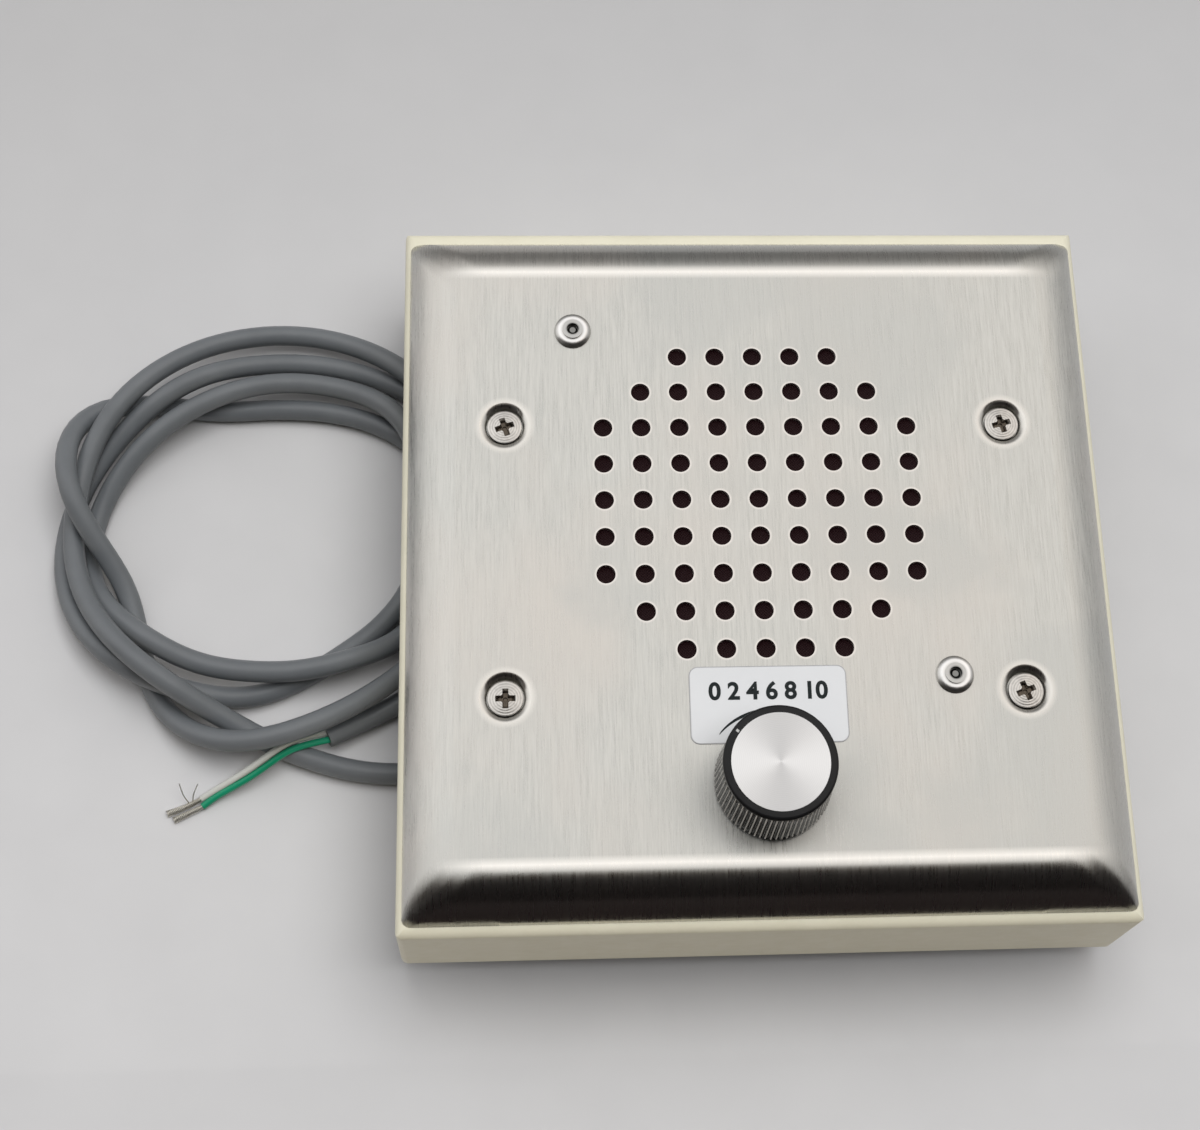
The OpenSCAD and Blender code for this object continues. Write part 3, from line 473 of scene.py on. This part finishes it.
class Finish:
    """A procedural material whose pattern lies in the part's own frame, in metres."""

    def __init__(self, name, color, roughness, metallic=0.0, **sockets):
        self.material = bpy.data.materials.new(name)
        self.material.use_nodes = True
        self.tree = self.material.node_tree
        self.shader = self.tree.nodes["Principled BSDF"]
        self.shader.inputs["Base Color"].default_value = (*color, 1)
        self.shader.inputs["Roughness"].default_value = roughness
        self.shader.inputs["Metallic"].default_value = metallic
        for socket, value in sockets.items():
            self.shader.inputs[socket.replace("_", " ")].default_value = value
        self.place = self.add("TexCoord").outputs["Object"]

    def add(self, kind, inputs=None, **settings):
        node = self.tree.nodes.new("ShaderNode" + kind)
        for key, value in settings.items():
            setattr(node, key, value)
        for key, value in (inputs or {}).items():
            if hasattr(value, "is_output"):
                self.tree.links.new(value, node.inputs[key])
            else:
                node.inputs[key].default_value = value
        return node

    def noise(self, scale, stretch=(1, 1, 1), detail=3, roughness=0.55):
        """Noise with so many grains to the metre, stretched along the axes."""
        mapping = self.add("Mapping", {"Vector": self.place, "Scale": stretch})
        noise = self.add("TexNoise", {
            "Vector": mapping.outputs[0], "Scale": scale, "Detail": detail, "Roughness": roughness,
        })
        return noise.outputs["Fac"]

    def ranged(self, factor, low, high, start=0.3, end=0.7, shape="LINEAR"):
        """A factor from start to end as a number from low to high."""
        node = self.add("MapRange", {
            "Value": factor, "From Min": start, "From Max": end, "To Min": low, "To Max": high,
        }, interpolation_type=shape)
        return node.outputs["Result"]

    def math(self, operation, a, b=0.0):
        return self.add("Math", {0: a, 1: b}, operation=operation).outputs[0]

    def length(self, east, north):
        """Length of a step so far east and so far north."""
        square = self.math("ADD", self.math("MULTIPLY", east, east), self.math("MULTIPLY", north, north))
        return self.math("SQRT", square)

    def tone(self, factor, dark, light, start=0.3, end=0.7):
        """Base colour between two tones."""
        share = self.ranged(factor, 0, 1, start, end)
        mix = self.add("Mix", {0: share, 6: (*dark, 1), 7: (*light, 1)}, data_type="RGBA")
        self.tree.links.new(mix.outputs[2], self.shader.inputs["Base Color"])

    def over(self, share, color):
        """A colour laid over the present one by a share from 0 to 1."""
        base = self.shader.inputs["Base Color"]
        mix = self.add("Mix", {0: share, 7: (*color, 1)}, data_type="RGBA")
        if base.is_linked:
            self.tree.links.new(base.links[0].from_socket, mix.inputs[6])
        else:
            mix.inputs[6].default_value = base.default_value
        self.tree.links.new(mix.outputs[2], base)

    def gloss(self, factor, low, high):
        self.tree.links.new(self.ranged(factor, low, high), self.shader.inputs["Roughness"])

    def relief(self, factor, depth_mm, strength=1.0):
        """Small relief, so deep in millimetres; calls add up."""
        bump = self.add("Bump", {"Height": factor, "Distance": depth_mm * MM, "Strength": strength})
        socket = self.shader.inputs["Normal"]
        if socket.is_linked:
            self.tree.links.new(socket.links[0].from_socket, bump.inputs["Normal"])
        self.tree.links.new(bump.outputs[0], socket)

    def soften(self, share, radius_mm):
        """Blends the shading of neighbouring faces over a radius, where the share is 1."""
        own = self.add("NewGeometry").outputs["Normal"]
        soft = self.add("Bevel", {"Radius": radius_mm * MM}, samples=6).outputs[0]
        mix = self.add("Mix", {0: share, 4: own, 5: soft}, data_type="VECTOR")
        self.tree.links.new(mix.outputs[1], self.shader.inputs["Normal"])

    def axes(self):
        return self.add("SeparateXYZ", {0: self.place}).outputs

    def distance(self, x, y):
        """Distance in metres from an upright line."""
        out = self.axes()
        east = self.math("SUBTRACT", out[0], x * MM)
        north = self.math("SUBTRACT", out[1], y * MM)
        return self.length(east, north)

    def from_screw(self, north_mm=0.0):
        """Distance in metres from the axis of the nearest cover screw, or from that far north of it."""
        out = self.axes()
        east = self.math("SUBTRACT", self.math("ABSOLUTE", out[0]), SCREW_SPAN[0] / 2 * MM)
        north = self.math("ABSOLUTE", self.math("SUBTRACT", out[1], (SCREWS_Y + north_mm) * MM))
        north = self.math("SUBTRACT", north, SCREW_SPAN[1] / 2 * MM)
        return self.length(east, north)

    def from_rivet(self):
        """Distance in metres from the axis of the nearer rivet."""
        return self.math("MINIMUM", *(
            self.distance(side * RIVET_OFFSET, SPEAKER_Y - side * RIVET_OFFSET) for side in (-1, 1)))

    def grille_rims(self, width_mm):
        """Share from 0 to 1: how near a spot is to the rim of a grille hole."""
        squares, steps = [], []
        for value, middle in zip(self.axes(), (0, SPEAKER_Y)):
            place = self.math("DIVIDE", self.math("SUBTRACT", value, middle * MM), HOLE_PITCH * MM)
            step = self.math("ROUND", place)
            off = self.math("SUBTRACT", place, step)
            squares.append(self.math("MULTIPLY", off, off))
            steps.append(self.math("ABSOLUTE", step))
        away = self.math("MULTIPLY", self.math("SQRT", self.math("ADD", *squares)), HOLE_PITCH * MM)
        rim = self.ranged(away, 1, 0, (HOLE_R + 0.1) * MM, (HOLE_R + width_mm) * MM)
        in_rows = self.math("LESS_THAN", self.math("MAXIMUM", *steps), 4.5)
        in_octagon = self.math("LESS_THAN", self.math("ADD", *steps), 6.5)
        return self.math("MULTIPLY", rim, self.math("MULTIPLY", in_rows, in_octagon))

    def inside_label(self):
        """Distance in metres from the edge of the label, less than 0 on it."""
        squares = []
        for value, middle, size in zip(self.axes(), (0, LABEL_Y), LABEL_SIZE):
            away = self.math("ABSOLUTE", self.math("SUBTRACT", value, middle * MM))
            past = self.math("MAXIMUM", self.math("SUBTRACT", away, (size / 2 - LABEL_CORNER) * MM), 0)
            squares.append(self.math("MULTIPLY", past, past))
        return self.math("SUBTRACT", self.math("SQRT", self.math("ADD", *squares)), LABEL_CORNER * MM)

    def rings(self, distance, pitch_mm):
        """Turned rings: a wave with one crest to each pitch."""
        turns = self.math("MULTIPLY", distance, 2 * math.pi / (pitch_mm * MM))
        return self.math("MULTIPLY_ADD", self.math("SINE", turns), 0.5)


def soft_finish(name, dark, light, roughness, grain=900, depth=0.02, metallic=0.0, **sockets):
    """Plastic, paint, rubber or plain metal: two close tones, a fine relief and uneven gloss."""
    finish = Finish(name, light, roughness, metallic, **sockets)
    finish.tone(finish.noise(grain * 0.12, detail=4), dark, light)
    finish.gloss(finish.noise(grain * 0.3, detail=2), roughness * 0.85, roughness * 1.15)
    finish.relief(finish.noise(grain, detail=3), depth)
    return finish


def brushed_plate(name):
    """Stainless sheet with an upright grain, with painted highlights where the rolled edge and the dimples
    start and round the grille holes.
    """
    finish = Finish(name, (0.60, 0.58, 0.56), 0.3, 1.0, Anisotropic=0.85)
    fine = finish.noise(3300, (1, 0.045, 0.05), detail=4, roughness=0.7)
    cloud = finish.noise(28, (1, 0.7, 1))
    patches = finish.noise(17, detail=5)
    finish.tone(fine, (0.535, 0.535, 0.508), (0.665, 0.66, 0.628), 0.35, 0.65)
    finish.over(finish.ranged(cloud, 0, 0.6, 0.42, 0.62), (0.66, 0.62, 0.575))
    finish.over(finish.ranged(patches, 0, 0.5, 0.50, 0.56), (0.545, 0.55, 0.53))
    east = finish.math("ABSOLUTE", finish.axes()[0])
    north = finish.math("ABSOLUTE", finish.math("SUBTRACT", finish.axes()[1], PLATE_Y * MM))
    # Painted highlight: a bright band along the top and bottom where the rolled edge starts, fading out
    # towards the corners.
    from_bend = finish.math("ABSOLUTE", finish.math("SUBTRACT", north, BEND_Y * MM))
    painted_bend_highlight = finish.math("MULTIPLY", finish.ranged(from_bend, 1, 0, 0, 1.3 * MM),
                       finish.ranged(east, 1, 0, 45 * MM, 53 * MM))
    finish.over(painted_bend_highlight, (0.97, 0.945, 0.90))
    # Painted highlight: a bright ring round the mouth of each screw dimple.
    from_mouth = finish.math("ABSOLUTE", finish.math("SUBTRACT", finish.from_screw(PLATE_SLIP), 4 * MM))
    finish.over(finish.ranged(from_mouth, 1, 0, 0, 1.1 * MM), (0.80, 0.775, 0.73))
    # Painted highlight: a bright rim round each grille hole.
    finish.over(finish.math("MULTIPLY", finish.grille_rims(0.4), 0.8), (0.86, 0.82, 0.78))
    finish.gloss(fine, 0.24, 0.36)
    corner = finish.math("MULTIPLY", finish.ranged(east, 0, 1, 42 * MM, 45 * MM),
                         finish.ranged(north, 0, 1, 42 * MM, 45 * MM))
    finish.soften(corner, 2.2)
    finish.relief(fine, 0.004)
    along = finish.add("VectorMath", {0: (0, 1, 0), 1: finish.add("NewGeometry").outputs["Normal"]},
                       operation="CROSS_PRODUCT")
    finish.tree.links.new(along.outputs[0], finish.shader.inputs["Tangent"])
    return finish


def spun_disc(name):
    """Aluminium face turned on a lathe: rings round the knob's axis."""
    finish = Finish(name, (0.87, 0.87, 0.875), 0.42, 1.0, Anisotropic=0.66, Anisotropic_Rotation=0.25)
    away = finish.distance(0, KNOB_Y)
    turned = finish.rings(away, 0.28)
    finish.tone(turned, (0.85, 0.85, 0.855), (0.885, 0.885, 0.89), 0, 1)
    finish.relief(turned, 0.003)
    tangent = finish.add("Tangent", direction_type="RADIAL", axis="Z")
    finish.tree.links.new(tangent.outputs[0], finish.shader.inputs["Tangent"])
    return finish


def turned_head(name, color, roughness):
    """Screw metal: on the cover screws the rings that the lathe leaves, and painted shade in the recess."""
    finish = Finish(name, color, roughness, 1.0)
    away = finish.from_screw()
    turned = finish.rings(away, 0.42)
    finish.relief(turned, 0.02)
    finish.relief(finish.noise(1800), 0.015)
    ringed = finish.math("MULTIPLY", turned, 0.35)
    mottled = finish.math("MULTIPLY", finish.noise(1500), 0.65)
    worn = finish.math("ADD", ringed, mottled)
    finish.tone(worn, tuple(0.75 * c for c in color), tuple(1.1 * c for c in color))
    # Painted shade: dark brown in the cross recess, below the face of the head.
    low = finish.ranged(finish.axes()[2], 1, 0, (HEAD_TOP - 0.6) * MM, (HEAD_TOP - 0.2) * MM)
    near = finish.ranged(away, 1, 0, 2.2 * MM, 2.4 * MM)
    finish.over(finish.math("MULTIPLY", low, near), (0.12, 0.10, 0.08))
    return finish


def set_rivet(name):
    """Rivet metal: a painted highlight round the collar, dull on it, painted shade in the hole."""
    finish = soft_finish(name, (0.62, 0.61, 0.59), (0.74, 0.73, 0.71), 0.34, 1500, 0.02, 1.0)
    away = finish.from_rivet()
    # Painted highlight: a bright ring round the rivet's shoulder.
    from_shoulder = finish.math("ABSOLUTE", finish.math("SUBTRACT", away, 2.15 * MM))
    finish.over(finish.ranged(from_shoulder, 1, 0, 0.1 * MM, 0.5 * MM), (0.97, 0.96, 0.95))
    finish.over(finish.ranged(away, 1, 0, 1.6 * MM, 1.75 * MM), (0.58, 0.575, 0.56))
    # Painted shade: darker in and round the hole.
    finish.over(finish.ranged(away, 1, 0, 1 * MM, 1.25 * MM), (0.28, 0.28, 0.27))
    return finish


def film_with_painted_edge_shade(name):
    """Pale film with painted shade along its edge."""
    finish = soft_finish(name, (0.60, 0.61, 0.625), (0.635, 0.645, 0.66), 0.4, 600, 0.004)
    # Painted shade: a grey line just inside the label's edge.
    finish.over(finish.ranged(finish.inside_label(), 0, 1, -0.22 * MM, -0.06 * MM), (0.30, 0.30, 0.31))
    return finish


def ridged_black(name):
    """Glossy black ridges of the knob, with painted highlights on the crests."""
    finish = soft_finish(name, (0.003, 0.003, 0.003), (0.006, 0.006, 0.006), 0.15, 1500, 0.004,
                         Specular_IOR_Level=0.25)
    up = finish.math("SUBTRACT", finish.axes()[2], KNOB_Z * MM)
    outer = finish.math("SUBTRACT", SKIRT_R * MM, finish.math("MULTIPLY", up, SKIRT_TAPER))
    depth = finish.math("SUBTRACT", outer, finish.distance(0, KNOB_Y))
    # Painted highlight: pale crests on the ridges.
    finish.over(finish.ranged(depth, 1, 0, 0.03 * MM, 0.08 * MM), (0.45, 0.43, 0.41))
    return finish


def woven(name, dark, light, pitch_mm, depth):
    """Cloth: two sets of threads at right angles."""
    finish = Finish(name, light, 0.9)
    out = finish.axes()
    waves = []
    for axis in (0, 1):
        turns = finish.math("MULTIPLY", out[axis], 2 * math.pi / (pitch_mm * MM))
        waves.append(finish.math("SINE", turns))
    weave = finish.math("MULTIPLY", waves[0], waves[1])
    finish.tone(weave, dark, light, -1, 1)
    finish.relief(weave, depth)
    return finish


def spangled(name):
    """Galvanised sheet with soft crystal patches."""
    finish = Finish(name, (0.60, 0.62, 0.63), 0.42, 1.0)
    cells = finish.add("TexVoronoi", {"Vector": finish.place, "Scale": 180.0})
    finish.tone(cells.outputs["Color"], (0.46, 0.48, 0.49), (0.64, 0.66, 0.67), 0, 1)
    finish.gloss(cells.outputs["Distance"], 0.35, 0.5)
    finish.relief(finish.noise(700), 0.008)
    return finish


def make_finishes():
    """One material for each slot of the record."""
    finishes = {
        "box_paint": soft_finish("box_paint", (0.64, 0.615, 0.49), (0.67, 0.645, 0.52), 0.42, 1100, 0.03),
        "galvanised": spangled("galvanised"),
        "zinc_screw": turned_head("zinc_screw", (0.68, 0.655, 0.62), 0.3),
        "stainless": brushed_plate("stainless"),
        "rivet_alloy": set_rivet("rivet_alloy"),
        "label_film": film_with_painted_edge_shade("label_film"),
        "cloth": woven("cloth", (0.004, 0.001, 0.002), (0.02, 0.0035, 0.005), 0.5, 0.1),
        "felt": soft_finish("felt", (0.015, 0.015, 0.015), (0.04, 0.04, 0.04), 0.95, 1600, 0.12),
        "basket_paint": soft_finish(
            "basket_paint", (0.04, 0.045, 0.05), (0.06, 0.065, 0.07), 0.4, 800, 0.02),
        "rubber_roll": soft_finish("rubber_roll", (0.01, 0.01, 0.01), (0.02, 0.02, 0.02), 0.7),
        "paper": soft_finish("paper", (0.012, 0.012, 0.013), (0.03, 0.03, 0.032), 0.9, 1500, 0.06),
        "spider_cloth": woven("spider_cloth", (0.30, 0.17, 0.03), (0.48, 0.29, 0.07), 0.6, 0.08),
        "coil_wire": soft_finish("coil_wire", (0.45, 0.20, 0.08), (0.60, 0.28, 0.12), 0.35, 1200, 0.02, 1.0),
        "plated_steel": soft_finish(
            "plated_steel", (0.50, 0.50, 0.47), (0.62, 0.62, 0.59), 0.32, 900, 0.008, 1.0),
        "ferrite": soft_finish("ferrite", (0.018, 0.018, 0.02), (0.035, 0.035, 0.037), 0.6, 1300, 0.05),
        "fibre_board": soft_finish(
            "fibre_board", (0.09, 0.035, 0.012), (0.15, 0.06, 0.02), 0.55, 1200, 0.03),
        "tinned": soft_finish("tinned", (0.52, 0.50, 0.44), (0.68, 0.66, 0.60), 0.3, 1200, 0.02, 1.0),
        "lead_braid": soft_finish(
            "lead_braid", (0.40, 0.18, 0.08), (0.60, 0.30, 0.14), 0.45, 2200, 0.08, 1.0),
        "can_steel": soft_finish("can_steel", (0.46, 0.46, 0.45), (0.60, 0.60, 0.58), 0.34, 700, 0.01, 1.0),
        "shaft_metal": soft_finish(
            "shaft_metal", (0.60, 0.60, 0.60), (0.72, 0.72, 0.72), 0.28, 1500, 0.01, 1.0),
        "knob_black": soft_finish(
            "knob_black", (0.005, 0.005, 0.005), (0.009, 0.009, 0.01), 0.32, 1500, 0.008,
            Specular_IOR_Level=0.25),
        "knob_disc": spun_disc("knob_disc"),
        "index_white": soft_finish("index_white", (0.38, 0.38, 0.37), (0.46, 0.46, 0.45), 0.5),
        "brass_part": soft_finish(
            "brass_part", (0.45, 0.30, 0.08), (0.60, 0.42, 0.14), 0.3, 1200, 0.01, 1.0),
        "screw_black": soft_finish("screw_black", (0.01, 0.01, 0.01), (0.025, 0.025, 0.025), 0.4),
        "clip_nylon": soft_finish("clip_nylon", (0.016, 0.016, 0.017), (0.028, 0.028, 0.03), 0.5, 900, 0.02),
        "cable_jacket": soft_finish(
            "cable_jacket", (0.112, 0.121, 0.13), (0.138, 0.148, 0.158), 0.38, 700, 0.03),
        "core_green": soft_finish("core_green", (0.004, 0.20, 0.10), (0.01, 0.27, 0.15), 0.35, 900, 0.01),
        "core_white": soft_finish("core_white", (0.47, 0.48, 0.45), (0.55, 0.56, 0.53), 0.35, 900, 0.01),
        "core_black": soft_finish("core_black", (0.008, 0.008, 0.008), (0.016, 0.016, 0.016), 0.35),
        "strand_metal": soft_finish(
            "strand_metal", (0.72, 0.69, 0.62), (0.88, 0.86, 0.80), 0.35, 2500, 0.02, 1.0),
    }
    return {slot: finish.material for slot, finish in finishes.items()}


def dress(piece, material):
    """Gives a piece one material."""
    if piece.material_slots:
        for slot in piece.material_slots:
            slot.material = material
    else:
        piece.data.materials.append(material)


def dress_all(finishes):
    for part in frame["record"]["subparts"]:
        dress(nodes[part["node"]], finishes[part["material_slot"]])
    wires = {
        "cable": "cable_jacket",
        "stripped_green": "core_green",
        "stripped_white": "core_white",
        "bare_strands": "strand_metal",
        "wire_green": "core_green",
        "wire_white": "core_white",
        "wire_black": "core_black",
    }
    for piece, slot in wires.items():
        dress(bpy.data.objects[piece], finishes[slot])
    make_knob(finishes["knob_black"], ridged_black("ridge_black").material)
    ink = soft_finish(
        "label_ink", (0.008, 0.012, 0.013), (0.014, 0.018, 0.019), 0.5, Specular_IOR_Level=0.15).material
    for piece in make_print():
        dress(piece, ink)


dress_all(make_finishes())


# Floor and light

def make_floor():
    """Pale table top, far wider than the view, with painted shade that darkens it towards the back."""
    half = 12
    corners = [(-half, -half, 0), (half, -half, 0), (half, half, 0), (-half, half, 0)]
    floor = mesh_piece("floor", corners, [(0, 1, 2, 3)])
    finish = soft_finish("floor_paint", (0.545, 0.545, 0.555), (0.565, 0.565, 0.575), 0.6, 400, 0.01)
    # Painted shade: the floor grows darker towards the back.
    finish.over(finish.ranged(finish.axes()[1], 0, 1, -0.06, 0.26, "SMOOTHSTEP"), (0.38, 0.38, 0.385))
    floor.data.materials.append(finish.material)


def make_world():
    """Soft studio dome, bright overhead and dim far ahead; only gloss sees light behind the camera."""
    world = bpy.data.worlds.new("studio")
    bpy.context.scene.world = world
    world.use_nodes = True
    tree = world.node_tree
    background = tree.nodes["Background"]

    def add(kind, **settings):
        node = tree.nodes.new("ShaderNode" + kind)
        for key, value in settings.items():
            setattr(node, key, value)
        return node

    direction = add("SeparateXYZ")
    tree.links.new(add("TexCoord").outputs["Generated"], direction.inputs[0])

    def curve(value, stops):
        """Smooth curve through stops of direction, brightness and warmth."""
        halved = add("Math", operation="MULTIPLY_ADD")
        tree.links.new(value, halved.inputs[0])
        halved.inputs[1].default_value = 0.5
        halved.inputs[2].default_value = 0.5
        node = add("ValToRGB")
        node.color_ramp.interpolation = "CARDINAL"
        ramp = node.color_ramp.elements
        while len(ramp) < len(stops):
            ramp.new(0.5)
        for element, (place, level, warmth) in zip(ramp, stops):
            element.position = (place + 1) / 2
            element.color = (level, level * (1 - 0.5 * warmth), level * (1 - warmth), 1)
        tree.links.new(halved.outputs[0], node.inputs[0])
        return node.outputs[0]

    north = [
        (-0.34, 0.045, 0.4), (-0.2, 0.18, 0.1), (-0.08, 0.92, 0), (0.02, 1.02, 0),
        (0.5, 1, 0), (0.65, 0.76, 0), (0.8, 0.36, 0), (0.92, 0.22, 0), (1, 0.2, 0)]
    ahead = add("Mix", data_type="RGBA")
    tree.links.new(add("LightPath").outputs["Is Glossy Ray"], ahead.inputs[0])
    for socket, south in ((6, [(-1, 0.012, 0), (-0.48, 0.02, 0.1)]), (7, [(-1, 0.4, 0), (-0.5, 0.4, 0)])):
        tree.links.new(curve(direction.outputs["Y"], south + north), ahead.inputs[socket])
    aside = curve(direction.outputs["X"], [
        (-1, 0.78, 0.02), (-0.6, 0.92, 0.02), (-0.05, 0.92, 0.01), (0.1, 0.76, 0.01),
        (0.3, 1, 0.1), (0.8, 0.6, 0.03), (1, 0.45, 0.03)])
    dome = add("Mix", data_type="RGBA", blend_type="MULTIPLY")
    dome.inputs[0].default_value = 1
    tree.links.new(ahead.outputs[2], dome.inputs[6])
    tree.links.new(aside, dome.inputs[7])
    tree.links.new(dome.outputs[2], background.inputs["Color"])
    background.inputs["Strength"].default_value = 1.2


def make_lamp(name, spot, size, watts, color):
    """A soft rectangular lamp that points at the object."""
    lamp = bpy.data.objects.new(name, bpy.data.lights.new(name, "AREA"))
    lamp.data.shape = "RECTANGLE"
    lamp.data.size, lamp.data.size_y = size
    lamp.data.energy = watts
    lamp.data.color = color
    lamp.location = spot
    lamp.rotation_euler = (-lamp.location).to_track_quat("-Z", "Y").to_euler()
    lamp.visible_glossy = False
    bpy.context.scene.collection.objects.link(lamp)


def make_flag():
    """Dark card in front of the object, out of the view, that only its gloss sees."""
    edges = ((0.5, -0.075, 0), (0.45, -0.3, 0.12), (0.4, -0.2, 0.45))
    corners = [(side * x, y, z) for x, y, z in edges for side in (-1, 1)]
    flag = mesh_piece("flag", corners, [(0, 1, 3, 2), (2, 3, 5, 4)])
    finish = soft_finish("flag_cloth", (0.008, 0.0045, 0.0045), (0.012, 0.007, 0.007), 0.9)
    flag.data.materials.append(finish.material)
    flag.visible_camera = False
    flag.visible_diffuse = False
    flag.visible_shadow = False


make_floor()
make_world()
make_lamp("overhead", (0.15, 0.08, 1.1), (0.9, 0.6), 8.5, (1, 1, 1))
make_lamp("front_fill", (-0.35, -1.1, 0.14), (0.6, 0.15), 2, (1, 0.86, 0.68))
make_flag()
bpy.context.scene.view_settings.view_transform = "Standard"
